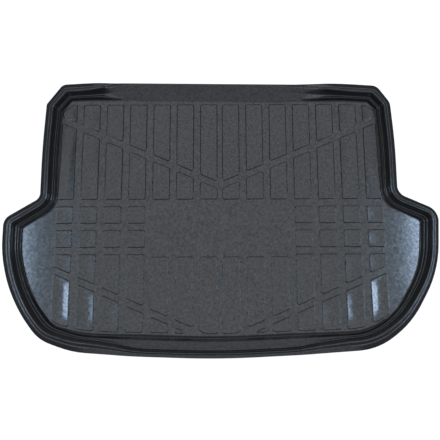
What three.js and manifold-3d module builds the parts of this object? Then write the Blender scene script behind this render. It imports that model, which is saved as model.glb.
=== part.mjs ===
// Car boot liner: a shallow tray moulded in one piece from a sheet of black plastic.
// Millimetres. +X is to the right, +Y towards the seat backs, +Z up. The floor's underside is z = 0.

import * as THREE from 'three'
import Module from 'manifold-3d'

// Sheet and rim heights, above the floor's underside
const SHEET = 2.4
const LIP_DEPTH = 6
const LIP_EDGE_DROP = 0.5
const LEDGE_Z = 16

// Heights across the bead, counted from the flange as shares of the bead's rise
const GROOVE_DEPTH_SHARE = 0.28
const BEAD_SHOULDER_SHARE = 0.72
const WALL_TOP_SHARE = -0.3

// Rim widths
const LIP_EDGE_ROUND = 0.3
const LIP_WIDTH = 1.5
const FLANGE_SHARE = 0.46
const GROOVE_SHARE = 0.54
const BEAD_START_SHARE = 0.7
const BEAD_TOP_SHARE = 0.8
const BEAD_END_SHARE = 0.9
const WALL_FOOT_BEND = 1.8
const LOWER_WALL_BEND = 1.8

// Most of the rim is of one height. Its lower wall is steep along the arches and wings, and soft along
// the seat and tailgate edges. In the middle of the seat edge the rim is a low ramp.
const FULL_RIM = { flangeZ: 36, flangeFall: 3.2, beadRise: 4, wallRun: 2.6, wallFootZ: 18.5, ledgeFall: -2 }
const STEEP_RIM = { ...FULL_RIM, floorBend: 0.8, floorBendZ: 2 }
const SOFT_RIM = { ...FULL_RIM, floorBend: 9, floorBendZ: 2.6 }
const RAMP_RIM = {
  flangeZ: 28, flangeFall: 1.3, beadRise: 0.8, wallRun: 17, wallFootZ: 17, ledgeFall: 7.5, floorBend: 6, floorBendZ: 1.4
}

// The rim's cross-section changes around the liner. Distances are inwards from the outer edge:
// to the top of the upper wall, to the inner edge of the ledge and to the foot of the lower wall.
// Beyond the foot, a strip of the floor stays bare of pads.
const SEAT_RIM = { ...SOFT_RIM, band: 28.5, ledge: 38, foot: 49.5, strip: 4.5 }
const SEAT_MIDDLE_RIM = { ...RAMP_RIM, band: 8, ledge: 40, foot: 51, strip: 4 }
const LEFT_ARCH_RIM = { ...STEEP_RIM, band: 26, ledge: 36.5, foot: 39, strip: 4.5 }
const LEFT_WING_RIM = { ...STEEP_RIM, band: 28.5, ledge: 40, foot: 42, strip: 6 }
const LEFT_BEND_RIM = { ...STEEP_RIM, band: 27, ledge: 40, foot: 47, strip: 4 }
const TAILGATE_END_RIM = { ...SOFT_RIM, band: 32, ledge: 40.5, foot: 54, strip: 4.5 }
const TAILGATE_RIM = { ...SOFT_RIM, flangeFall: 1.2, band: 17, ledge: 43, foot: 60, strip: 4.5 }
const RIGHT_BEND_RIM = { ...STEEP_RIM, band: 28, ledge: 38, foot: 42.5, strip: 4 }
const RIGHT_WING_RIM = { ...STEEP_RIM, band: 23, ledge: 37, foot: 40.5, strip: 4 }
const RIGHT_ARCH_RIM = { ...STEEP_RIM, band: 25, ledge: 34, foot: 36.5, strip: 4.5 }

// Main lines of the outline
const SEAT_EDGE_Y = 421.5
const SEAT_EDGE_LEFT_RISE = 4
const TAILGATE_EDGE_Y = -399.5
const ARCH_LEFT_X = -535
const ARCH_RIGHT_X = 529
const WING_LEFT_X = -638
const WING_RIGHT_X = 646
const SHARPEST_BEND = 9
const LONGEST_TANGENT_SHARE = 0.46
const ARC_TOLERANCE = 0.9
const WIDEST_ARC_STEP = THREE.MathUtils.degToRad(15)

// Corners of the outer edge with their bend radius, counterclockwise from above
const OUTLINE = [
  { x: ARCH_RIGHT_X - 47, y: SEAT_EDGE_Y - 7.5, radius: 32, rim: SEAT_RIM },
  { x: 370, y: SEAT_EDGE_Y, radius: 1200, rim: SEAT_RIM },
  { x: 230, y: SEAT_EDGE_Y, radius: 1200, rim: SEAT_MIDDLE_RIM },
  { x: -300, y: SEAT_EDGE_Y + SEAT_EDGE_LEFT_RISE + 2, radius: 1200, rim: SEAT_MIDDLE_RIM },
  { x: -395, y: SEAT_EDGE_Y + SEAT_EDGE_LEFT_RISE, radius: 1200, rim: SEAT_RIM },
  { x: ARCH_LEFT_X + 53, y: SEAT_EDGE_Y - 1, radius: 24, rim: SEAT_RIM },
  { x: ARCH_LEFT_X + 6, y: SEAT_EDGE_Y - 64.5, radius: 14, rim: LEFT_ARCH_RIM },
  { x: ARCH_LEFT_X, y: 220, radius: 2600, rim: LEFT_ARCH_RIM },
  { x: ARCH_LEFT_X + 1, y: 65.5, radius: 26, rim: LEFT_ARCH_RIM },
  { x: WING_LEFT_X, y: 3.5, radius: 37, rim: LEFT_WING_RIM },
  { x: WING_LEFT_X, y: -98, radius: 400, rim: LEFT_WING_RIM },
  { x: WING_LEFT_X + 24, y: -192.5, radius: 400, rim: LEFT_WING_RIM },
  { x: WING_LEFT_X + 65, y: -274, radius: 400, rim: LEFT_BEND_RIM },
  { x: -516.5, y: -344.7, radius: 120, rim: LEFT_BEND_RIM },
  { x: -421, y: -379, radius: 380, rim: TAILGATE_END_RIM },
  { x: -335, y: -385.1, radius: 2000, rim: TAILGATE_END_RIM },
  { x: -245, y: -391.5, radius: 2000, rim: TAILGATE_RIM },
  { x: -3, y: TAILGATE_EDGE_Y, radius: 3000, rim: TAILGATE_RIM },
  { x: 230, y: -388.5, radius: 2000, rim: TAILGATE_RIM },
  { x: 325, y: -382.1, radius: 2000, rim: TAILGATE_END_RIM },
  { x: 447, y: -374, radius: 300, rim: TAILGATE_END_RIM },
  { x: 547, y: -300, radius: 290, rim: RIGHT_BEND_RIM },
  { x: WING_RIGHT_X - 13, y: -154, radius: 365, rim: RIGHT_WING_RIM },
  { x: WING_RIGHT_X, y: 24, radius: 47, rim: RIGHT_WING_RIM },
  { x: ARCH_RIGHT_X - 1, y: 76.5, radius: 35, rim: RIGHT_ARCH_RIM },
  { x: ARCH_RIGHT_X, y: 230, radius: 2000, rim: RIGHT_ARCH_RIM },
  { x: ARCH_RIGHT_X - 8, y: SEAT_EDGE_Y - 62, radius: 38, rim: RIGHT_ARCH_RIM }
]

// Raised pads of the floor, set out from the middle in columns
const PAD_HEIGHT = 3
const PAD_SIDE_RUN = 2
const PAD_WIDTH = 52.5
const PAD_GAP = 20
const CENTRE_GAP = 15
const PAD_CORNER = 6
const SHARPEST_PAD_BEND = 1
const COLUMNS_A_SIDE = 7
const PLAIN_COLUMNS = 3
const SMALLEST_PAD_BEND = THREE.MathUtils.degToRad(3)

// Rows of pads, from the seat backs to the tailgate
const LONG_PAD_TOP_Y = 366
const LONG_PAD_END_Y = 65
const SQUARE_TOP_Y = 44.5
const SQUARE_ROWS = 2
const TAILGATE_PAD_TOP_Y = -100.5
const PLAIN_PANEL_DROP = 7.5

// Slanted grooves that cut the columns. Each rises away from the middle on both sides.
const SLANT = 0.432
const SLANT_GROOVE_WIDTH = 20
const UPPER_GROOVE_Y = 116.5
const LOWER_GROOVE_Y = -350

const SHEET_BLACK = new THREE.MeshStandardMaterial({ color: 0x2b2d30, roughness: 0.45, metalness: 0 })

const wasm = await Module()
wasm.setup()

// Direction across a corner, scaled so that one unit along it moves both of its edges in by one.
function inwardMitre(before, here, after) {
  const along1 = new THREE.Vector2(here.x - before.x, here.y - before.y).normalize()
  const along2 = new THREE.Vector2(after.x - here.x, after.y - here.y).normalize()
  const inward1 = new THREE.Vector2(-along1.y, along1.x)
  const inward2 = new THREE.Vector2(-along2.y, along2.x)
  return inward1.clone().add(inward2).divideScalar(1 + inward1.dot(inward2))
}

// Signed turn from one edge to the next: positive where the outline bulges out.
function turnAt(before, here, after) {
  const along1 = new THREE.Vector2(here.x - before.x, here.y - before.y)
  const along2 = new THREE.Vector2(after.x - here.x, after.y - here.y)
  return Math.atan2(along1.cross(along2), along1.dot(along2))
}

function withNeighbours(corners, make) {
  const count = corners.length
  return corners.map((here, i) => make(corners[(i + count - 1) % count], here, corners[(i + 1) % count], i))
}

// Corners moved in by a distance of their own, with the bend radius that keeps the edges parallel.
function insetCorners(corners, distanceAt, sharpest) {
  return withNeighbours(corners, (before, here, after, i) => {
    const distance = distanceAt(here, i)
    const mitre = inwardMitre(before, here, after)
    const bulges = turnAt(before, here, after) > 0
    const radius = bulges ? Math.max(here.radius - distance, sharpest) : here.radius + distance
    return { ...here, x: here.x + mitre.x * distance, y: here.y + mitre.y * distance, radius }
  })
}

// Straight steps along each bend that stay within a small distance of its arc.
function arcSteps(corners) {
  return withNeighbours(corners, (before, here, after) => {
    const step = Math.min(WIDEST_ARC_STEP, 2 * Math.sqrt(2 * ARC_TOLERANCE / here.radius))
    return Math.max(1, Math.ceil(Math.abs(turnAt(before, here, after)) / step))
  })
}

// Points around a closed outline whose corners are rounded, one list of points for each corner.
function roundedCorners(corners, steps) {
  return withNeighbours(corners, (before, here, after, i) => {
    const corner = new THREE.Vector2(here.x, here.y)
    const back = new THREE.Vector2(before.x, before.y).sub(corner)
    const ahead = new THREE.Vector2(after.x, after.y).sub(corner)
    const halfTurn = Math.abs(turnAt(before, here, after)) / 2
    const longest = LONGEST_TANGENT_SHARE * Math.min(back.length(), ahead.length())
    const tangent = Math.min(here.radius * Math.tan(halfTurn), longest)
    const start = corner.clone().addScaledVector(back.normalize(), tangent)
    const end = corner.clone().addScaledVector(ahead.normalize(), tangent)
    return arcThrough(start, corner, end, steps[i])
  })
}

// Circular arc that leaves one edge at start and joins the next at end.
function arcThrough(start, corner, end, steps) {
  const middle = start.clone().add(end).multiplyScalar(0.5)
  const halfChord = start.distanceTo(middle)
  const rise = corner.distanceTo(middle)
  const fromCorner = middle.clone().sub(corner).normalize()
  const centre = middle.clone().addScaledVector(fromCorner, halfChord * halfChord / rise)
  const from = start.clone().sub(centre)
  const sweep = Math.atan2(from.cross(end.clone().sub(centre)), from.dot(end.clone().sub(centre)))
  const arc = new THREE.EllipseCurve(
    centre.x, centre.y, from.length(), from.length(), from.angle(), from.angle() + sweep, sweep < 0)
  return arc.getPoints(steps)
}

// Upper face of the rim, as distances in from the outer edge and heights.
function rimProfile(rim) {
  const { flangeZ, beadRise, band, ledge, foot } = rim
  const lipZ = flangeZ - rim.flangeFall
  const shoulderZ = flangeZ + beadRise * BEAD_SHOULDER_SHARE
  const wallFoot = band + rim.wallRun
  const ledgeEndZ = LEDGE_Z - rim.ledgeFall
  return [
    [0, lipZ - LIP_DEPTH],
    [LIP_EDGE_ROUND, lipZ - LIP_EDGE_DROP],
    [LIP_WIDTH, lipZ],
    [band * FLANGE_SHARE, flangeZ],
    [band * GROOVE_SHARE, flangeZ - beadRise * GROOVE_DEPTH_SHARE],
    [band * BEAD_START_SHARE, shoulderZ],
    [band * BEAD_TOP_SHARE, flangeZ + beadRise],
    [band * BEAD_END_SHARE, shoulderZ],
    [band, flangeZ + beadRise * WALL_TOP_SHARE],
    [wallFoot, rim.wallFootZ],
    [wallFoot + WALL_FOOT_BEND, LEDGE_Z],
    [ledge, ledgeEndZ],
    [ledge + LOWER_WALL_BEND, ledgeEndZ - LOWER_WALL_BEND],
    [foot - rim.floorBend, SHEET + rim.floorBendZ],
    [foot, SHEET]
  ].map(([inset, z]) => new THREE.Vector2(inset, z))
}

// Lower face of the same sheet: every stretch of the profile moved down or out by the sheet's thickness.
function underProfile(profile) {
  return profile.map((point, i) => {
    const last = profile.length - 1
    const before = profile[Math.max(i - 1, 0)]
    const after = profile[Math.min(i + 1, last)]
    const along1 = i > 0 ? point.clone().sub(before).normalize() : null
    const along2 = i < last ? after.clone().sub(point).normalize() : new THREE.Vector2(1, 0)
    const down2 = new THREE.Vector2(along2.y, -along2.x)
    const down1 = along1 ? new THREE.Vector2(along1.y, -along1.x) : down2
    return point.clone().addScaledVector(down1.clone().add(down2), SHEET / (1 + down1.dot(down2)))
  })
}

// Closed rings of points around the liner, one for each point of the profile.
function profileRings(profileAt) {
  const steps = arcSteps(OUTLINE)
  const profiles = OUTLINE.map(corner => profileAt(corner.rim))
  return profiles[0].map((_, level) => {
    const corners = insetCorners(OUTLINE, (_corner, i) => profiles[i][level].x, SHARPEST_BEND)
    const arcs = roundedCorners(corners, steps)
    return arcs.flatMap((arc, i) => arc.map(p => new THREE.Vector3(p.x, p.y, profiles[i][level].y)))
  })
}

// Closed solid through a stack of rings, with its first and last ring filled.
function solidFromRings(rings) {
  const count = rings[0].length
  const points = rings.flat()
  const triangles = []
  for (let level = 0; level + 1 < rings.length; level++) {
    for (let i = 0; i < count; i++) {
      const a = level * count + i
      const b = level * count + (i + 1) % count
      triangles.push([a, b, b + count], [a, b + count, a + count])
    }
  }
  const lastStart = (rings.length - 1) * count
  for (const [a, b, c] of THREE.ShapeUtils.triangulateShape(rings[0], [])) triangles.push([a, c, b])
  for (const [a, b, c] of THREE.ShapeUtils.triangulateShape(rings.at(-1), [])) {
    triangles.push([lastStart + a, lastStart + b, lastStart + c])
  }
  return new wasm.Manifold(new wasm.Mesh({
    numProp: 3,
    vertProperties: new Float32Array(points.flatMap(p => [p.x, p.y, p.z])),
    triVerts: new Uint32Array(triangles.flat())
  }))
}

// The plain tray: floor underside, up the outside of the rim, over its lip and down to the floor.
function traySheet() {
  const under = profileRings(rim => underProfile(rimProfile(rim)))
  const upper = profileRings(rimProfile)
  return solidFromRings([...under.reverse(), ...upper])
}

// Outline of the floor that the pads may cover
function padZone() {
  const corners = insetCorners(OUTLINE, corner => corner.rim.foot + corner.rim.strip, SHARPEST_BEND)
  return roundedCorners(corners, arcSteps(OUTLINE)).flat()
}

// Part of an outline that lies where side(point) is positive
function cutBy(corners, side) {
  return withNeighbours(corners, (before, here) => {
    const a = side(before)
    const b = side(here)
    const kept = []
    if (a * b < 0) {
      const share = a / (a - b)
      kept.push({ x: before.x + (here.x - before.x) * share, y: before.y + (here.y - before.y) * share })
    }
    if (b >= 0) kept.push({ x: here.x, y: here.y })
    return kept
  }).flat()
}

// Corners that bend the outline. The two ends of a short edge become one corner.
function tidyCorners(corners) {
  const merged = []
  for (const corner of corners) {
    const last = merged.at(-1)
    if (last && distanceBetween(last, corner) < PAD_CORNER) {
      merged[merged.length - 1] = midway(last, corner)
    } else {
      merged.push(corner)
    }
  }
  if (distanceBetween(merged[0], merged.at(-1)) < PAD_CORNER) merged[0] = midway(merged[0], merged.pop())
  return withNeighbours(merged, (before, here, after) => {
    return Math.abs(turnAt(before, here, after)) > SMALLEST_PAD_BEND ? [here] : []
  }).flat()
}

function distanceBetween(a, b) {
  return Math.hypot(a.x - b.x, a.y - b.y)
}

function midway(a, b) {
  return { x: (a.x + b.x) / 2, y: (a.y + b.y) / 2 }
}

function areaOf(corners) {
  return Math.abs(THREE.ShapeUtils.area(corners.map(c => new THREE.Vector2(c.x, c.y))))
}

// Stretches of a column between the grooves that run across it, each with the slanted groove that cuts it.
function columnBlocks(column) {
  const plainDrop = column < PLAIN_COLUMNS ? PLAIN_PANEL_DROP : 0
  const blocks = [
    { top: LONG_PAD_TOP_Y, end: LONG_PAD_END_Y, grooveY: UPPER_GROOVE_Y },
    { top: TAILGATE_PAD_TOP_Y - plainDrop, end: TAILGATE_EDGE_Y, grooveY: LOWER_GROOVE_Y }
  ]
  for (let row = 0; row < SQUARE_ROWS && column >= PLAIN_COLUMNS; row++) {
    const top = SQUARE_TOP_Y - row * (PAD_WIDTH + PAD_GAP)
    blocks.push({ top, end: top - PAD_WIDTH })
  }
  return blocks
}

// Outlines of the pads in one block: the whole block, or its two parts beside a slanted groove.
function padsInBlock(zone, side, column, block) {
  const inner = CENTRE_GAP / 2 + column * (PAD_WIDTH + PAD_GAP)
  const inColumn = cutBy(cutBy(zone, p => p.x * side - inner), p => inner + PAD_WIDTH - p.x * side)
  const whole = cutBy(cutBy(inColumn, p => block.top - p.y), p => p.y - block.end)
  if (block.grooveY === undefined) return [whole]
  const aboveGroove = p => p.y - block.grooveY - SLANT * p.x * side
  return [cutBy(whole, aboveGroove), cutBy(whole, p => -SLANT_GROOVE_WIDTH - aboveGroove(p))]
}

// Half the width of the widest strip that an outline of this area and length could hold
function innerRadius(corners) {
  const edges = withNeighbours(corners, (before, here) => distanceBetween(before, here))
  const length = edges.reduce((sum, edge) => sum + edge, 0)
  return 2 * areaOf(corners) / length
}

function padOutlines() {
  const zone = padZone()
  const outlines = []
  for (const side of [-1, 1]) {
    for (let column = 0; column < COLUMNS_A_SIDE; column++) {
      for (const block of columnBlocks(column)) outlines.push(...padsInBlock(zone, side, column, block))
    }
  }
  return outlines
    .filter(corners => corners.length > 2)
    .map(tidyCorners)
    .filter(corners => corners.length > 2 && innerRadius(corners) > PAD_SIDE_RUN + SHARPEST_PAD_BEND)
    .map(corners => corners.map(corner => ({ ...corner, radius: PAD_CORNER })))
}

// A pad's block between two heights, each face moved in from the pad's outline by its own distance.
function padBlock(corners, lower, upper) {
  const steps = corners.map(() => 1)
  const rings = [lower, upper].map(({ inset, z }) => {
    const arcs = roundedCorners(insetCorners(corners, () => inset, SHARPEST_PAD_BEND), steps)
    return arcs.flat().map(p => new THREE.Vector3(p.x, p.y, z))
  })
  return solidFromRings(rings)
}

// The sheet keeps its thickness where it is pressed up into a pad, so each pad is hollow underneath.
function pressPads(tray, outlines) {
  const slope = PAD_SIDE_RUN / PAD_HEIGHT
  const sideShift = SHEET * (Math.hypot(1, slope) - slope)
  const depth = SHEET / 2
  const raised = outlines.map(corners => padBlock(
    corners,
    { inset: -depth * slope, z: SHEET - depth },
    { inset: PAD_SIDE_RUN, z: SHEET + PAD_HEIGHT }))
  const hollows = outlines.map(corners => padBlock(
    corners,
    { inset: sideShift - depth * slope, z: -depth },
    { inset: sideShift + PAD_SIDE_RUN, z: PAD_HEIGHT }))
  return tray.add(wasm.Manifold.union(raised)).subtract(wasm.Manifold.union(hollows))
}

function toGeometry(solid) {
  const mesh = solid.getMesh()
  const geometry = new THREE.BufferGeometry()
  geometry.setAttribute('position', new THREE.BufferAttribute(new Float32Array(mesh.vertProperties), 3))
  geometry.setIndex(new THREE.BufferAttribute(new Uint32Array(mesh.triVerts), 1))
  return geometry
}

const liner = new THREE.Mesh(toGeometry(pressPads(traySheet(), padOutlines())), SHEET_BLACK)
liner.name = 'boot_liner'

// The origin is under the middle of the liner's box, on the floor that it lies on.
liner.geometry.computeBoundingBox()
const middle = liner.geometry.boundingBox.getCenter(new THREE.Vector3())
liner.position.set(-middle.x, -middle.y, 0)

const bootLiner = new THREE.Group()
bootLiner.add(liner)

export default bootLiner
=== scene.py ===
"""A car boot liner: a shallow tray of black plastic, moulded in one piece, on a white floor.

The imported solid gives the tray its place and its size. One fine skin stands for it here, made from
the same outline and pad rows and from nearly the same rim sections. Its bends are rounded, its pads
have steeper sides and dished tops, and the whole sheet is slightly warped.
Lengths are in millimetres up to the point where a mesh, a lamp or the camera is made in metres.
"""

import math

import bpy
import numpy as np
from mathutils import Matrix, Vector, geometry, noise


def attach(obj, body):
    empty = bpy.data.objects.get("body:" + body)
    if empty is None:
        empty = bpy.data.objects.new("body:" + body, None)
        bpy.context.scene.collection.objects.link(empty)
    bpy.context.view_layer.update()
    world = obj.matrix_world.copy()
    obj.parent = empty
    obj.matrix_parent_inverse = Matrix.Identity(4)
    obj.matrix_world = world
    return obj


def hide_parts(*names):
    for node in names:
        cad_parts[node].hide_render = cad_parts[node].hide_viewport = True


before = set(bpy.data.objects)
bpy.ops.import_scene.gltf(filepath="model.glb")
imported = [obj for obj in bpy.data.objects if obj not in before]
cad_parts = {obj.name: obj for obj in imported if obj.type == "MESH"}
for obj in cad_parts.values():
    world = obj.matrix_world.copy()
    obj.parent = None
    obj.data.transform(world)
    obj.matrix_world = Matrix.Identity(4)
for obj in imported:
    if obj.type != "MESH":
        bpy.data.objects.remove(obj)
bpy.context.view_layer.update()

MM = 0.001

# Sheet and rim heights, above the floor's underside
SHEET = 2.4
LIP_DEPTH = 6
LIP_EDGE_DROP = 0.5
LEDGE_Z = 16

# Heights across the bead, counted from the flange as shares of the bead's rise
GROOVE_DEPTH_SHARE = 0.28
BEAD_SHOULDER_SHARE = 0.72
WALL_TOP_SHARE = -0.3

# Rim widths
LIP_EDGE_ROUND = 0.3
LIP_WIDTH = 1.5
FLANGE_SHARE = 0.46
GROOVE_SHARE = 0.54
BEAD_START_SHARE = 0.7
BEAD_TOP_SHARE = 0.8
BEAD_END_SHARE = 0.9
WALL_FOOT_BEND = 1.8
LOWER_WALL_BEND = 1.8
FLOOR_START = 1.6

# Bend radii of the rim's upper face, from the lip's lower edge to the floor
BEAD_BENDS = [0.8, 2, 2, 2, 2, 2, 3, 3]
STEEP_BENDS = BEAD_BENDS + [2.5, 3, 2.5, 1, 2, 2.5, 1.6]
SOFT_BENDS = BEAD_BENDS + [2.5, 3, 2.5, 1, 2, 16, 30]
RAMP_BENDS = BEAD_BENDS + [8, 30, 30, 40, 30, 30, 30]

# Most of the rim is of one height. Its lower wall is steep along the arches and wings, and soft along
# the seat and tailgate edges. In the middle of the seat edge the rim is a low ramp.
FULL_RIM = {"flange_z": 36, "flange_fall": 3.2, "bead_rise": 4, "wall_run": 2.6, "wall_foot_z": 18.5,
            "ledge_fall": -2, "ledge_bend_z": LOWER_WALL_BEND}
STEEP_RIM = {**FULL_RIM, "floor_bend": 0.8, "floor_bend_z": 2, "bends": STEEP_BENDS}
SOFT_RIM = {**FULL_RIM, "floor_bend": 7, "floor_bend_z": 2.8, "bends": SOFT_BENDS}
RAMP_RIM = {"flange_z": 28, "flange_fall": 1.3, "bead_rise": 0.8, "wall_run": 17, "wall_foot_z": 17,
            "ledge_fall": 7.5, "ledge_bend_z": 0.9, "floor_bend": 3, "floor_bend_z": 1.4,
            "bends": RAMP_BENDS}

# Rim sections: how far in from the outer edge the upper wall starts, the ledge ends and the lower wall
# ends, and how wide a strip of floor beyond it stays bare of pads
SEAT_RIM = {**SOFT_RIM, "band": 28.5, "ledge": 38, "foot": 49.5, "strip": 4.5}
SEAT_MIDDLE_RIM = {**RAMP_RIM, "band": 8, "ledge": 40, "foot": 51, "strip": 4}
LEFT_ARCH_RIM = {**STEEP_RIM, "band": 26, "ledge": 36.5, "foot": 39, "strip": 4.5}
LEFT_WING_RIM = {**STEEP_RIM, "band": 28.5, "ledge": 40, "foot": 42, "strip": 6}
LEFT_BEND_RIM = {**STEEP_RIM, "band": 27, "ledge": 40, "foot": 47, "strip": 4}
TAILGATE_END_RIM = {**SOFT_RIM, "band": 32, "ledge": 40.5, "foot": 54, "strip": 4.5}
TAILGATE_RIM = {**SOFT_RIM, "flange_fall": 1.2, "band": 17, "ledge": 43, "foot": 60, "strip": 4.5}
RIGHT_BEND_RIM = {**STEEP_RIM, "band": 28, "ledge": 38, "foot": 42.5, "strip": 4}
RIGHT_WING_RIM = {**STEEP_RIM, "band": 23, "ledge": 37, "foot": 40.5, "strip": 4}
RIGHT_ARCH_RIM = {**STEEP_RIM, "band": 25, "ledge": 34, "foot": 36.5, "strip": 4.5}

# Main lines of the outline
SEAT_EDGE_Y = 421.5
SEAT_EDGE_LEFT_RISE = 4
TAILGATE_EDGE_Y = -399.5
ARCH_LEFT_X = -535
ARCH_RIGHT_X = 529
WING_LEFT_X = -638
WING_RIGHT_X = 646
SHARPEST_BEND = 9
LONGEST_TANGENT_SHARE = 0.46
ARC_TOLERANCE = 0.9
WIDEST_ARC_STEP = math.radians(15)

# Corners of the outer edge: x, y, bend radius and rim section, counterclockwise from above
OUTLINE = [
    (ARCH_RIGHT_X - 47, SEAT_EDGE_Y - 7.5, 32, SEAT_RIM),
    (370, SEAT_EDGE_Y, 1200, SEAT_RIM),
    (230, SEAT_EDGE_Y, 1200, SEAT_MIDDLE_RIM),
    (-300, SEAT_EDGE_Y + SEAT_EDGE_LEFT_RISE + 2, 1200, SEAT_MIDDLE_RIM),
    (-395, SEAT_EDGE_Y + SEAT_EDGE_LEFT_RISE, 1200, SEAT_RIM),
    (ARCH_LEFT_X + 53, SEAT_EDGE_Y - 1, 24, SEAT_RIM),
    (ARCH_LEFT_X + 6, SEAT_EDGE_Y - 64.5, 14, LEFT_ARCH_RIM),
    (ARCH_LEFT_X, 220, 2600, LEFT_ARCH_RIM),
    (ARCH_LEFT_X + 1, 65.5, 26, LEFT_ARCH_RIM),
    (WING_LEFT_X, 3.5, 37, LEFT_WING_RIM),
    (WING_LEFT_X, -98, 400, LEFT_WING_RIM),
    (WING_LEFT_X + 24, -192.5, 400, LEFT_WING_RIM),
    (WING_LEFT_X + 65, -274, 400, LEFT_BEND_RIM),
    (-516.5, -344.7, 120, LEFT_BEND_RIM),
    (-421, -379, 380, TAILGATE_END_RIM),
    (-335, -385.1, 2000, TAILGATE_END_RIM),
    (-245, -391.5, 2000, TAILGATE_RIM),
    (-3, TAILGATE_EDGE_Y, 3000, TAILGATE_RIM),
    (230, -388.5, 2000, TAILGATE_RIM),
    (325, -382.1, 2000, TAILGATE_END_RIM),
    (447, -374, 300, TAILGATE_END_RIM),
    (547, -300, 290, RIGHT_BEND_RIM),
    (WING_RIGHT_X - 13, -154, 365, RIGHT_WING_RIM),
    (WING_RIGHT_X, 24, 47, RIGHT_WING_RIM),
    (ARCH_RIGHT_X - 1, 76.5, 35, RIGHT_ARCH_RIM),
    (ARCH_RIGHT_X, 230, 2000, RIGHT_ARCH_RIM),
    (ARCH_RIGHT_X - 8, SEAT_EDGE_Y - 62, 38, RIGHT_ARCH_RIM),
]

# Raised pads of the floor, set out from the middle in columns
PAD_HEIGHT = 3
PAD_SIDE_RUN = 2
PAD_WIDTH = 52.5
PAD_GAP = 20
CENTRE_GAP = 15
PAD_CORNER = 6
SHARPEST_PAD_BEND = 1
SMALLEST_TRUE_CORNER = math.radians(16)
PAD_CURVE = 300
COLUMNS_A_SIDE = 7
PLAIN_COLUMNS = 3
SMALLEST_PAD_BEND = math.radians(3)

# Rows of pads, from the seat backs to the tailgate
LONG_PAD_TOP_Y = 366
LONG_PAD_END_Y = 65
SQUARE_TOP_Y = 44.5
SQUARE_ROWS = 2
TAILGATE_PAD_TOP_Y = -100.5
PLAIN_PANEL_DROP = 7.5

# Slanted grooves that cut the columns
SLANT = 0.432
SLANT_GROOVE_WIDTH = 20
UPPER_GROOVE_Y = 116.5
LOWER_GROOVE_Y = -350

# Bend radii and mesh steps of the rim. A bend takes up at most a share of the shorter stretch beside it.
LONGEST_BEND_SHARE = 0.48
UNDERSIDE_BEND = 1.2
RIM_BEND_STEPS = 3
UNDERSIDE_BEND_STEPS = 2

# Fine mesh sizes and steps
FINE_ARC_STEP = math.radians(4)
LONGEST_STEP = 24
PAD_ARC_STEPS = 5
PAD_TOP_BEND_STEPS = 3
PAD_UNDERSIDE_BEND_STEPS = 2
PAD_LONGEST_STEP = 21
PAD_GRID = 11
FLOOR_GRID = 19
UNDERSIDE_GRID = 24
CLEAR_OF_EDGE = 3

# Smallest values that count: a bend's rise as a share of half its chord, the square of an edge's length
# and the distance between two points
FLATTEST_BEND = 1e-4
SHORTEST_SQUARED = 1e-9
MERGE_DISTANCE = 1e-6

# How the triangulation gives its faces: all of them, those inside the holes too
ALL_VALID_FACES = 4

# Shape of each pad's side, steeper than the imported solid's
PAD_SIDE_INSET = 0.5
PAD_FOOT_RUN = 1
PAD_TOP_RUN = 1.2
PAD_FOOT_ROUND = 1.6
PAD_TOP_ROUND = 1.4

# Dished tops. The pads beyond a line towards the tailgate have the deep dishes.
DISH_DEPTH = 0.9
DEEP_DISH_DEPTH = 1.7
DEEP_DISH_END_Y = -200
DISH_REACH = 24

# Slight warp of the sheet
WARP_HEIGHT = 0.5
WARP_LENGTH = 170

# Black of the plastic, and the paler black that it drifts to
BLACK = (0.0075, 0.0078, 0.0082, 1)
BLACK_WORN = (0.01, 0.0103, 0.0107, 1)

# Noises of the plastic: size of their features in millimetres, detail and roughness. The clouds vary
# its colour, gloss its roughness, mottle the strength of its shine, ripple and grain its height.
CLOUDS = (90, 4, 0.5)
GLOSS = (14, 5, 0.6)
MOTTLE = (6, 3, 0.55)
RIPPLE = (22, 3, 0.5)
GRAIN = (1.1, 2, 0.5)

# Range that most values of a noise lie in, and the ranges that they are mapped to
NOISE_RANGE = (0.3, 0.7)
ROUGHNESS_RANGE = (0.12, 0.18)
SPECULAR_RANGE = (0.32, 0.68)

# Bumps: height in millimetres and strength
RIPPLE_BUMP = (0.35, 0.3)
GRAIN_BUMP = (0.05, 0.1)

# White floor, lit by itself where the camera sees it. Its size is in metres.
WHITE = (1, 1, 1, 1)
FLOOR_GREY = (0.25, 0.25, 0.25, 1)
FLOOR_GLOW = 0.82
FLOOR_SIZE = 14

# Light of the room
WORLD_LIGHT = 0.22
WORLD_COLOUR = (0.96, 0.98, 1, 1)
LAMP_HEIGHT = 2600
CEILING_HEIGHT = 3000
SIDE_COLOUR = (0.57, 0.75, 1)
TOP_COLOUR = (0.92, 0.96, 1)

# Lamps: name, place of the middle, point aimed at, width, depth, brightness of the face and colour
LAMPS = [
    ("left_softbox", (-2170, -60, LAMP_HEIGHT), (-400, -60, 0), 1500, 950, 13, SIDE_COLOUR),
    ("right_softbox", (2130, -60, LAMP_HEIGHT), (400, -60, 0), 1500, 950, 16, SIDE_COLOUR),
    ("left_glow", (-2200, -100, LAMP_HEIGHT), (-400, -100, 0), 2200, 1800, 0.6, SIDE_COLOUR),
    ("right_glow", (2200, -100, LAMP_HEIGHT), (400, -100, 0), 2200, 1800, 0.2, SIDE_COLOUR),
    ("ceiling", (0, 400, CEILING_HEIGHT), (0, 400, 0), 3200, 3000, 1.4, TOP_COLOUR),
    ("front_ceiling", (0, -2700, CEILING_HEIGHT), (0, -2700, 0), 3200, 3200, 0.75, TOP_COLOUR),
    ("back_wall", (0, 4200, 1000), (0, 0, 1000), 7000, 2000, 0.6, TOP_COLOUR),
]

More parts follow.
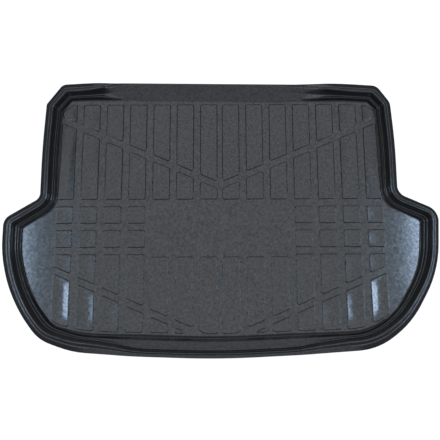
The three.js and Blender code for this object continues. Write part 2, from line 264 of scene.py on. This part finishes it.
# Camera. The picture's sizes are in pixels, the sensor's in millimetres, the clip distances in metres.
CAMERA_DISTANCE = 1400
CAMERA_TILT = math.radians(8.5)
CAMERA_ROLL = math.radians(-0.18)
CAMERA_TARGET = (-2.859, -14.969, 6)
PICTURE_WIDTH = 440
PIXELS_AT_FOCUS = 466.67
PICTURE_DROP = 0.5
SENSOR_WIDTH = 36
CLIP_START = 0.05
CLIP_END = 60


def unit(vector):
    return vector / np.linalg.norm(vector)


def inward_of(along):
    return np.array([-along[1], along[0]])


def turn_at(before, here, after):
    """Signed turn from one edge to the next: positive where the outline bulges out."""
    a, b = here - before, after - here
    return math.atan2(a[0] * b[1] - a[1] * b[0], a @ b)


def neighbours(corners):
    """Each corner of a closed outline with the one before it and the one after it."""
    count = len(corners)
    return [(corners[i - 1], corners[i], corners[(i + 1) % count]) for i in range(count)]


def inward_mitre(before, here, after):
    """Direction across a corner: one unit along it moves both of its edges in by one."""
    inward1 = inward_of(unit(here - before))
    inward2 = inward_of(unit(after - here))
    return (inward1 + inward2) / (1 + inward1 @ inward2)


def inset_outline(corners, radii, distances, sharpest):
    """Corners moved in by a distance of their own, with the bend radii that keep the edges parallel."""
    moved = []
    bends = []
    for (before, here, after), radius, distance in zip(neighbours(corners), radii, distances):
        moved.append(here + inward_mitre(before, here, after) * distance)
        bulges = turn_at(before, here, after) > 0
        bends.append(max(radius - distance, sharpest) if bulges else radius + distance)
    return moved, bends


def arc_through(start, corner, end, steps):
    """Points of the circular arc that leaves one edge at start and joins the next at end."""
    middle = (start + end) / 2
    rise = np.linalg.norm(corner - middle)
    half_chord = np.linalg.norm(end - middle)
    shares = np.linspace(0, 1, steps + 1)
    if rise < half_chord * FLATTEST_BEND:
        return [start + (end - start) * share for share in shares]
    centre = middle + (middle - corner) * (half_chord / rise) ** 2
    a, b = start - centre, end - centre
    sweep = math.atan2(a[0] * b[1] - a[1] * b[0], a @ b)
    turned = np.array([-a[1], a[0]])
    return [centre + a * math.cos(sweep * share) + turned * math.sin(sweep * share) for share in shares]


def bend_ends(before, here, after, radius, longest_share):
    """Where a bend of that radius leaves one edge and joins the next."""
    back, ahead = before - here, after - here
    half_turn = abs(turn_at(before, here, after)) / 2
    longest = longest_share * min(np.linalg.norm(back), np.linalg.norm(ahead))
    tangent = min(radius * math.tan(half_turn), longest)
    return here + unit(back) * tangent, here + unit(ahead) * tangent


def outline_arcs(corners, radii, arc_steps):
    arcs = []
    for (before, here, after), radius, steps in zip(neighbours(corners), radii, arc_steps):
        start, end = bend_ends(before, here, after, radius, LONGEST_TANGENT_SHARE)
        arcs.append(arc_through(start, here, end, steps))
    return arcs


def closed_ring(corners, radii, heights, arc_steps, edge_steps):
    """Points around a closed outline with rounded corners. Heights change along the straight edges."""
    arcs = outline_arcs(corners, radii, arc_steps)
    ring = []
    for i, arc in enumerate(arcs):
        following = (i + 1) % len(arcs)
        ring.extend((p[0], p[1], heights[i]) for p in arc)
        for share in np.linspace(0, 1, edge_steps[i] + 1)[1:-1]:
            p = arc[-1] + (arcs[following][0] - arc[-1]) * share
            ring.append((p[0], p[1], heights[i] + (heights[following] - heights[i]) * share))
    return np.array(ring)


def ring_steps(corners, radii, arc_step, longest):
    """How many steps each bend and each straight edge of an outline gets."""
    arcs = outline_arcs(corners, radii, [1] * len(corners))
    arc_steps = []
    edge_steps = []
    for i, (before, here, after) in enumerate(neighbours(corners)):
        by_turn = abs(turn_at(before, here, after)) / arc_step
        by_length = np.linalg.norm(arcs[i][1] - arcs[i][0]) / longest
        arc_steps.append(max(1, math.ceil(max(by_turn, by_length))))
        gap = np.linalg.norm(arcs[(i + 1) % len(arcs)][0] - arcs[i][1])
        edge_steps.append(max(1, math.ceil(gap / longest)))
    return arc_steps, edge_steps


def rounded_path(points, bends, steps):
    """Open path of inset and height whose inner corners are rounded."""
    path = [points[0]]
    for i, (bend, count) in enumerate(zip(bends, steps)):
        before, here, after = points[i:i + 3]
        start, end = bend_ends(before, here, after, bend, LONGEST_BEND_SHARE)
        path.extend(arc_through(start, here, end, count))
    path.append(points[-1])
    return path


# Rim

def rim_profile(rim):
    """Upper face of the rim, as distances in from the outer edge and heights."""
    flange_z, bead_rise = rim["flange_z"], rim["bead_rise"]
    band, ledge, foot = rim["band"], rim["ledge"], rim["foot"]
    lip_z = flange_z - rim["flange_fall"]
    shoulder_z = flange_z + bead_rise * BEAD_SHOULDER_SHARE
    wall_foot = band + rim["wall_run"]
    ledge_end_z = LEDGE_Z - rim["ledge_fall"]
    return [np.array(point) for point in (
        (0, lip_z - LIP_DEPTH),
        (LIP_EDGE_ROUND, lip_z - LIP_EDGE_DROP),
        (LIP_WIDTH, lip_z),
        (band * FLANGE_SHARE, flange_z),
        (band * GROOVE_SHARE, flange_z - bead_rise * GROOVE_DEPTH_SHARE),
        (band * BEAD_START_SHARE, shoulder_z),
        (band * BEAD_TOP_SHARE, flange_z + bead_rise),
        (band * BEAD_END_SHARE, shoulder_z),
        (band, flange_z + bead_rise * WALL_TOP_SHARE),
        (wall_foot, rim["wall_foot_z"]),
        (wall_foot + WALL_FOOT_BEND, LEDGE_Z),
        (ledge, ledge_end_z),
        (ledge + LOWER_WALL_BEND, ledge_end_z - rim["ledge_bend_z"]),
        (foot - rim["floor_bend"], SHEET + rim["floor_bend_z"]),
        (foot, SHEET),
        (foot + FLOOR_START, SHEET),
    )]


def under_profile(profile):
    """Lower face of the same sheet: each stretch of the profile moved out by the sheet's thickness."""
    under = []
    for i, point in enumerate(profile):
        ahead = unit(profile[i + 1] - point) if i + 1 < len(profile) else np.array([1.0, 0.0])
        back = unit(point - profile[i - 1]) if i > 0 else ahead
        down1, down2 = -inward_of(back), -inward_of(ahead)
        under.append(point + (down1 + down2) * SHEET / (1 + down1 @ down2))
    return under


def rim_section(rim):
    """Whole section of the rim: from the floor's underside, out around the lip and back to the floor."""
    upper = rim_profile(rim)
    under = under_profile(upper)
    points = under[::-1] + upper
    # The lip's lower edge is rounded alike on both of its sides
    bends = [UNDERSIDE_BEND] * (len(under) - 2) + rim["bends"][:1] + rim["bends"]
    steps = [UNDERSIDE_BEND_STEPS] * (len(under) - 1) + [RIM_BEND_STEPS] * len(rim["bends"])
    return rounded_path(points, bends, steps)


def outline_corners():
    return [np.array([x, y], float) for x, y, _radius, _rim in OUTLINE]


def outline_radii():
    return [radius for _x, _y, radius, _rim in OUTLINE]


def rim_rings():
    """Rings around the liner, one for each point of the rim's section."""
    corners, radii = outline_corners(), outline_radii()
    steps = ring_steps(corners, radii, FINE_ARC_STEP, LONGEST_STEP)
    sections = [rim_section(rim) for _x, _y, _radius, rim in OUTLINE]
    rings = []
    for level in zip(*sections):
        moved, bends = inset_outline(corners, radii, [point[0] for point in level], SHARPEST_BEND)
        rings.append(closed_ring(moved, bends, [point[1] for point in level], *steps))
    return rings


# Pads

def pad_zone():
    """Outline of the floor that the pads may cover."""
    distances = [rim["foot"] + rim["strip"] for _x, _y, _radius, rim in OUTLINE]
    corners, radii = inset_outline(outline_corners(), outline_radii(), distances, SHARPEST_BEND)
    steps = [coarse_arc_steps(*bend) for bend in zip(neighbours(outline_corners()), outline_radii())]
    return [point for arc in outline_arcs(corners, radii, steps) for point in arc]


def coarse_arc_steps(corner, radius):
    """Straight steps along a bend that stay within a small distance of its arc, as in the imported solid."""
    step = min(WIDEST_ARC_STEP, 2 * math.sqrt(2 * ARC_TOLERANCE / radius))
    return max(1, math.ceil(abs(turn_at(*corner)) / step))


def cut_by(corners, side):
    """Part of an outline that lies where side(point) is positive."""
    kept = []
    for before, here, _after in neighbours(corners):
        a, b = side(before), side(here)
        if a * b < 0:
            kept.append(before + (here - before) * (a / (a - b)))
        if b >= 0:
            kept.append(here)
    return kept


def tidy_corners(corners):
    """Corners that bend the outline. The two ends of a short edge become one corner."""
    merged = []
    for corner in corners:
        if merged and np.linalg.norm(merged[-1] - corner) < PAD_CORNER:
            merged[-1] = (merged[-1] + corner) / 2
        else:
            merged.append(corner)
    if np.linalg.norm(merged[0] - merged[-1]) < PAD_CORNER:
        merged[0] = (merged[0] + merged.pop()) / 2
    return [here for before, here, after in neighbours(merged)
            if abs(turn_at(before, here, after)) > SMALLEST_PAD_BEND]


def inner_radius(corners):
    """Half the width of the widest strip that an outline of this area and length could hold."""
    pairs = [(before, here) for before, here, _after in neighbours(corners)]
    double_area = abs(sum(before[0] * here[1] - before[1] * here[0] for before, here in pairs))
    return double_area / sum(np.linalg.norm(here - before) for before, here in pairs)


def column_blocks(column):
    """Stretches of a column between the grooves across it: top, end and the slanted cut between."""
    plain_drop = PLAIN_PANEL_DROP if column < PLAIN_COLUMNS else 0
    blocks = [
        (LONG_PAD_TOP_Y, LONG_PAD_END_Y, UPPER_GROOVE_Y),
        (TAILGATE_PAD_TOP_Y - plain_drop, TAILGATE_EDGE_Y, LOWER_GROOVE_Y),
    ]
    if column >= PLAIN_COLUMNS:
        for row in range(SQUARE_ROWS):
            top = SQUARE_TOP_Y - row * (PAD_WIDTH + PAD_GAP)
            blocks.append((top, top - PAD_WIDTH, None))
    return blocks


def pads_in_block(zone, side, column, block):
    top, end, groove_y = block
    inner = CENTRE_GAP / 2 + column * (PAD_WIDTH + PAD_GAP)
    whole = cut_by(zone, lambda p: p[0] * side - inner)
    whole = cut_by(whole, lambda p: inner + PAD_WIDTH - p[0] * side)
    whole = cut_by(whole, lambda p: top - p[1])
    whole = cut_by(whole, lambda p: p[1] - end)
    if groove_y is None:
        return [whole]
    above = cut_by(whole, lambda p: p[1] - groove_y - SLANT * p[0] * side)
    below = cut_by(whole, lambda p: groove_y + SLANT * p[0] * side - SLANT_GROOVE_WIDTH - p[1])
    return [above, below]


def pad_outlines():
    """Corners of every pad, counterclockwise."""
    zone = pad_zone()
    outlines = []
    for side in (-1, 1):
        for column in range(COLUMNS_A_SIDE):
            for block in column_blocks(column):
                outlines.extend(pads_in_block(zone, side, column, block))
    tidied = [tidy_corners(corners) for corners in outlines if len(corners) > 2]
    smallest = PAD_SIDE_RUN + SHARPEST_PAD_BEND
    return [corners for corners in tidied if len(corners) > 2 and inner_radius(corners) > smallest]


def pad_section(shift, bend_steps):
    """Side of a pad, as distances in from its outline and heights above the floor."""
    points = [np.array(point) for point in (
        (shift - PAD_FOOT_RUN, 0),
        (shift + PAD_SIDE_INSET, 0),
        (shift + PAD_SIDE_RUN - PAD_SIDE_INSET, PAD_HEIGHT),
        (shift + PAD_SIDE_RUN + PAD_TOP_RUN, PAD_HEIGHT),
    )]
    return rounded_path(points, [PAD_FOOT_ROUND, PAD_TOP_ROUND], [bend_steps] * 2)


def pad_bends(corners):
    """Small bends at a pad's true corners, wide ones where it follows a curve of the rim."""
    turns = [abs(turn_at(*corner)) for corner in neighbours(corners)]
    return [PAD_CORNER if turn > SMALLEST_TRUE_CORNER else PAD_CURVE for turn in turns]


def pad_rings(corners, base_z, section):
    """Rings of one pad, from the floor around it to the edge of its top."""
    radii = pad_bends(corners)
    _arc_steps, edge_steps = ring_steps(corners, radii, math.pi, PAD_LONGEST_STEP)
    arc_steps = [PAD_ARC_STEPS] * len(corners)
    rings = []
    for inset, height in section:
        moved, bends = inset_outline(corners, radii, [inset] * len(corners), SHARPEST_PAD_BEND)
        rings.append(closed_ring(moved, bends, [base_z + height] * len(corners), arc_steps, edge_steps))
    return rings


def edge_distances(corners, points):
    """Distance of each point in from each edge of a convex outline."""
    distances = []
    for before, here, _after in neighbours(corners):
        distances.append((points[:, :2] - before) @ inward_of(unit(here - before)))
    return np.array(distances)


def dish_drop(corners, points):
    """How far a pad's top sags: nothing at its edges, most in its middle, and more at the tailgate."""
    edge = PAD_SIDE_RUN + PAD_TOP_RUN
    depth = DEEP_DISH_DEPTH if np.mean(corners, axis=0)[1] < DEEP_DISH_END_Y else DISH_DEPTH
    shares = np.clip((edge_distances(corners, points) - edge) / DISH_REACH, 0, 1)
    return depth * np.prod(1 - (1 - shares) ** 2, axis=0)


# Mesh

class Skin:
    """Points and faces of the liner's surface, gathered ring by ring."""

    def __init__(self):
        self.points = []
        self.faces = []

    def add(self, points):
        first = len(self.points)
        self.points.extend(points)
        return list(range(first, first + len(points)))

    def band(self, outer, inner):
        """Four-sided faces between two rings of as many points."""
        count = len(outer)
        for i in range(count):
            j = (i + 1) % count
            self.faces.append((outer[i], outer[j], inner[j], inner[i]))

    def stack(self, rings):
        """Bands through a list of rings. Gives the first ring's and the last ring's points."""
        indices = [self.add(ring) for ring in rings]
        for outer, inner in zip(indices, indices[1:]):
            self.band(outer, inner)
        return indices[0], indices[-1]

    def fill(self, border, holes, inner_points, facing_up):
        """Triangles inside a border, through the inner points. They cover its holes too."""
        inner = self.add(inner_points)
        used = list(border)
        edges = loop_edges(0, len(border))
        for hole in holes:
            edges.extend(loop_edges(len(used), len(hole)))
            used.extend(hole)
        used.extend(inner)
        flat = [Vector((self.points[i][0], self.points[i][1])) for i in used]
        made = geometry.delaunay_2d_cdt(flat, edges, [], ALL_VALID_FACES, MERGE_DISTANCE)
        _places, _edges, faces, origins, _edge_origins, _face_origins = made
        kept = [origin[0] for origin in origins]
        for face in faces:
            corners = [used[kept[i]] for i in face]
            self.faces.append(corners if facing_up else corners[::-1])


def loop_edges(first, count):
    return [(first + i, first + (i + 1) % count) for i in range(count)]


def inside(border, points, clearance):
    """Which points lie well inside a closed ring, and which lie inside it or near it."""
    within = np.zeros(len(points), bool)
    nearest = np.full(len(points), np.inf)
    for a, b in zip(border, np.roll(border, -1, axis=0)):
        a, b = a[:2], b[:2]
        crosses = (a[1] > points[:, 1]) != (b[1] > points[:, 1])
        if a[1] != b[1]:
            crossing_x = a[0] + (points[:, 1] - a[1]) * (b[0] - a[0]) / (b[1] - a[1])
            within ^= crosses & (points[:, 0] < crossing_x)
        along = b - a
        share = np.clip((points - a) @ along / max(along @ along, SHORTEST_SQUARED), 0, 1)
        gap = np.linalg.norm(points - a - share[:, None] * along, axis=1)
        nearest = np.minimum(nearest, gap)
    return within & (nearest > clearance), within | (nearest < clearance)


def grid_in(border, spacing):
    """Points of an even grid inside a ring, clear of its edge."""
    low, high = border[:, :2].min(axis=0), border[:, :2].max(axis=0)
    counts = np.maximum(np.round((high - low) / spacing).astype(int), 2)
    xs = np.linspace(low[0], high[0], counts[0] + 1)[1:-1]
    ys = np.linspace(low[1], high[1], counts[1] + 1)[1:-1]
    grid = np.array([(x, y) for x in xs for y in ys]).reshape(-1, 2)
    return grid[inside(border, grid, CLEAR_OF_EDGE)[0]]


def with_height(points, heights):
    return np.column_stack([points, np.broadcast_to(heights, len(points))])


def press_pads(skin, border, outlines, base_z, shift, bend_steps, grid, facing_up):
    """Fills one face of the floor: its pads' sides, their dished tops and the flat floor around them.

    Flat faces at the floor's level also close the foot of each pad.
    """
    section = pad_section(shift, bend_steps)
    border_points = np.array([skin.points[i] for i in border])
    floor = grid_in(border_points, grid)
    feet = []
    for corners in outlines:
        rings = pad_rings(corners, base_z, section)
        floor = floor[~inside(rings[0], floor, CLEAR_OF_EDGE)[1]]
        top_grid = grid_in(rings[-1], PAD_GRID)
        top = with_height(top_grid, base_z + PAD_HEIGHT)
        top[:, 2] -= dish_drop(corners, top)
        if not facing_up:
            rings = [ring[::-1] for ring in rings]
        foot, edge = skin.stack(rings)
        skin.fill(edge, [], top, facing_up)
        feet.append(foot)
    skin.fill(border, feet, with_height(floor, base_z), facing_up)


def warp(points):
    """Gentle rise and fall of the whole sheet, in millimetres."""
    return np.array([
        WARP_HEIGHT * (1 + noise.noise(Vector((p[0] / WARP_LENGTH, p[1] / WARP_LENGTH, 0)))) / 2
        for p in points
    ])


def make_mesh(name, skin):
    points = np.array(skin.points, float)
    points[:, 2] += warp(points)
    low, high = points.min(axis=0), points.max(axis=0)
    points[:, :2] -= (low + high)[:2] / 2
    mesh = bpy.data.meshes.new(name)
    mesh.from_pydata((points * MM).tolist(), [], skin.faces)
    mesh.validate()
    mesh.shade_smooth()
    return mesh


def build_liner():
    skin = Skin()
    rings = rim_rings()
    under_border, upper_border = skin.stack(rings)
    outlines = pad_outlines()
    slope = PAD_SIDE_RUN / PAD_HEIGHT
    under_shift = SHEET * (math.hypot(1, slope) - slope)
    press_pads(skin, upper_border, outlines, SHEET, 0, PAD_TOP_BEND_STEPS, FLOOR_GRID, True)
    under_steps = PAD_UNDERSIDE_BEND_STEPS
    press_pads(skin, under_border, outlines, 0, under_shift, under_steps, UNDERSIDE_GRID, False)
    liner = bpy.data.objects.new("liner_skin", make_mesh("liner_skin", skin))
    bpy.context.scene.collection.objects.link(liner)
    liner.modifiers.new("even_shading", "WEIGHTED_NORMAL")
    return liner


# Materials

def node(tree, kind, **values):
    made = tree.nodes.new(kind)
    for key, value in values.items():
        setattr(made, key, value)
    return made


def noise_texture(tree, coordinates, feature_mm, detail, roughness):
    made = node(tree, "ShaderNodeTexNoise")
    made.inputs["Scale"].default_value = 1 / (feature_mm * MM)
    made.inputs["Detail"].default_value = detail
    made.inputs["Roughness"].default_value = roughness
    tree.links.new(coordinates, made.inputs["Vector"])
    return made.outputs["Fac"]


def mapped(tree, value, low, high):
    """Noise value brought into another range."""
    made = node(tree, "ShaderNodeMapRange")
    made.inputs["From Min"].default_value, made.inputs["From Max"].default_value = NOISE_RANGE
    made.inputs["To Min"].default_value = low
    made.inputs["To Max"].default_value = high
    tree.links.new(value, made.inputs["Value"])
    return made.outputs["Result"]


def bumped(tree, height, distance_mm, strength, before=None):
    """Normal of a bumped surface, on top of the bumps before it."""
    made = node(tree, "ShaderNodeBump")
    made.inputs["Distance"].default_value = distance_mm * MM
    made.inputs["Strength"].default_value = strength
    tree.links.new(height, made.inputs["Height"])
    if before is not None:
        tree.links.new(before, made.inputs["Normal"])
    return made.outputs["Normal"]


def plastic():
    """Satin black plastic with a fine moulded grain, uneven gloss and a mottled shine."""
    material = bpy.data.materials.new("liner_plastic")
    material.use_nodes = True
    tree = material.node_tree
    shader = tree.nodes["Principled BSDF"]
    coordinates = node(tree, "ShaderNodeTexCoord").outputs["Object"]

    clouds = noise_texture(tree, coordinates, *CLOUDS)
    colour = node(tree, "ShaderNodeMix", data_type="RGBA")
    colour.inputs["A"].default_value = BLACK
    colour.inputs["B"].default_value = BLACK_WORN
    tree.links.new(mapped(tree, clouds, 0, 1), colour.inputs["Factor"])
    tree.links.new(colour.outputs["Result"], shader.inputs["Base Color"])

    gloss = noise_texture(tree, coordinates, *GLOSS)
    tree.links.new(mapped(tree, gloss, *ROUGHNESS_RANGE), shader.inputs["Roughness"])

    mottle = noise_texture(tree, coordinates, *MOTTLE)
    tree.links.new(mapped(tree, mottle, *SPECULAR_RANGE), shader.inputs["Specular IOR Level"])

    ripple = noise_texture(tree, coordinates, *RIPPLE)
    grain = noise_texture(tree, coordinates, *GRAIN)
    rippled = bumped(tree, ripple, *RIPPLE_BUMP)
    tree.links.new(bumped(tree, grain, *GRAIN_BUMP, rippled), shader.inputs["Normal"])
    return material


def floor_material():
    """White where it is looked at, a little darker in the object's shadow."""
    material = bpy.data.materials.new("white_floor")
    material.use_nodes = True
    tree = material.node_tree
    shader = tree.nodes["Principled BSDF"]
    shader.inputs["Base Color"].default_value = FLOOR_GREY
    shader.inputs["Roughness"].default_value = 1
    shader.inputs["Specular IOR Level"].default_value = 0
    shader.inputs["Emission Color"].default_value = WHITE
    glow = node(tree, "ShaderNodeMath", operation="MULTIPLY")
    glow.inputs[1].default_value = FLOOR_GLOW
    path = node(tree, "ShaderNodeLightPath")
    tree.links.new(path.outputs["Is Camera Ray"], glow.inputs[0])
    tree.links.new(glow.outputs[0], shader.inputs["Emission Strength"])
    return material


def build_floor():
    half = FLOOR_SIZE / 2
    mesh = bpy.data.meshes.new("floor")
    corners = [(-half, -half, 0), (half, -half, 0), (half, half, 0), (-half, half, 0)]
    mesh.from_pydata(corners, [], [(0, 1, 2, 3)])
    mesh.materials.append(floor_material())
    floor = bpy.data.objects.new("floor", mesh)
    bpy.context.scene.collection.objects.link(floor)
    return floor


# Light

def build_world():
    """Even studio light, and white where the camera looks past the floor."""
    world = bpy.data.worlds.new("studio")
    world.use_nodes = True
    tree = world.node_tree
    back = tree.nodes["Background"]
    back.inputs["Color"].default_value = WORLD_COLOUR
    back.inputs["Strength"].default_value = WORLD_LIGHT
    white = node(tree, "ShaderNodeBackground")
    white.inputs["Color"].default_value = WHITE
    mix = node(tree, "ShaderNodeMixShader")
    path = node(tree, "ShaderNodeLightPath")
    tree.links.new(path.outputs["Is Camera Ray"], mix.inputs[0])
    tree.links.new(back.outputs[0], mix.inputs[1])
    tree.links.new(white.outputs[0], mix.inputs[2])
    tree.links.new(mix.outputs[0], tree.nodes["World Output"].inputs["Surface"])
    bpy.context.scene.world = world


def softbox(name, place, aim, width, depth, radiance, colour):
    """Rectangular lamp, given in millimetres, with the brightness of its face. Its width is level."""
    lamp = bpy.data.lights.new(name, "AREA")
    lamp.shape = "RECTANGLE"
    lamp.size = width * MM
    lamp.size_y = depth * MM
    lamp.energy = radiance * math.pi * lamp.size * lamp.size_y
    lamp.color = colour
    holder = bpy.data.objects.new(name, lamp)
    holder.location = Vector(place) * MM
    towards = (Vector(aim) - Vector(place)).normalized()
    holder.rotation_mode = "QUATERNION"
    holder.rotation_quaternion = towards.to_track_quat("-Z", "Y")
    holder.visible_camera = False
    bpy.context.scene.collection.objects.link(holder)


def build_lights():
    build_world()
    for lamp in LAMPS:
        softbox(*lamp)


# Camera

def build_camera():
    camera = bpy.data.cameras.new("camera")
    camera.sensor_width = SENSOR_WIDTH
    camera.lens = SENSOR_WIDTH * PIXELS_AT_FOCUS / PICTURE_WIDTH
    camera.shift_y = PICTURE_DROP / PICTURE_WIDTH
    camera.clip_start = CLIP_START
    camera.clip_end = CLIP_END
    holder = bpy.data.objects.new("camera", camera)
    back = Vector((0, -math.sin(CAMERA_TILT), math.cos(CAMERA_TILT)))
    turned = Matrix.Rotation(CAMERA_TILT, 4, "X") @ Matrix.Rotation(CAMERA_ROLL, 4, "Z")
    place = (Vector(CAMERA_TARGET) + back * CAMERA_DISTANCE) * MM
    holder.matrix_world = Matrix.Translation(place) @ turned
    bpy.context.scene.collection.objects.link(holder)
    bpy.context.scene.camera = holder


def main():
    bpy.context.scene.view_settings.view_transform = "Standard"
    build_camera()
    build_lights()
    build_floor()
    liner = build_liner()
    liner.data.materials.append(plastic())
    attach(liner, "root")
    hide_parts("boot_liner")


main()
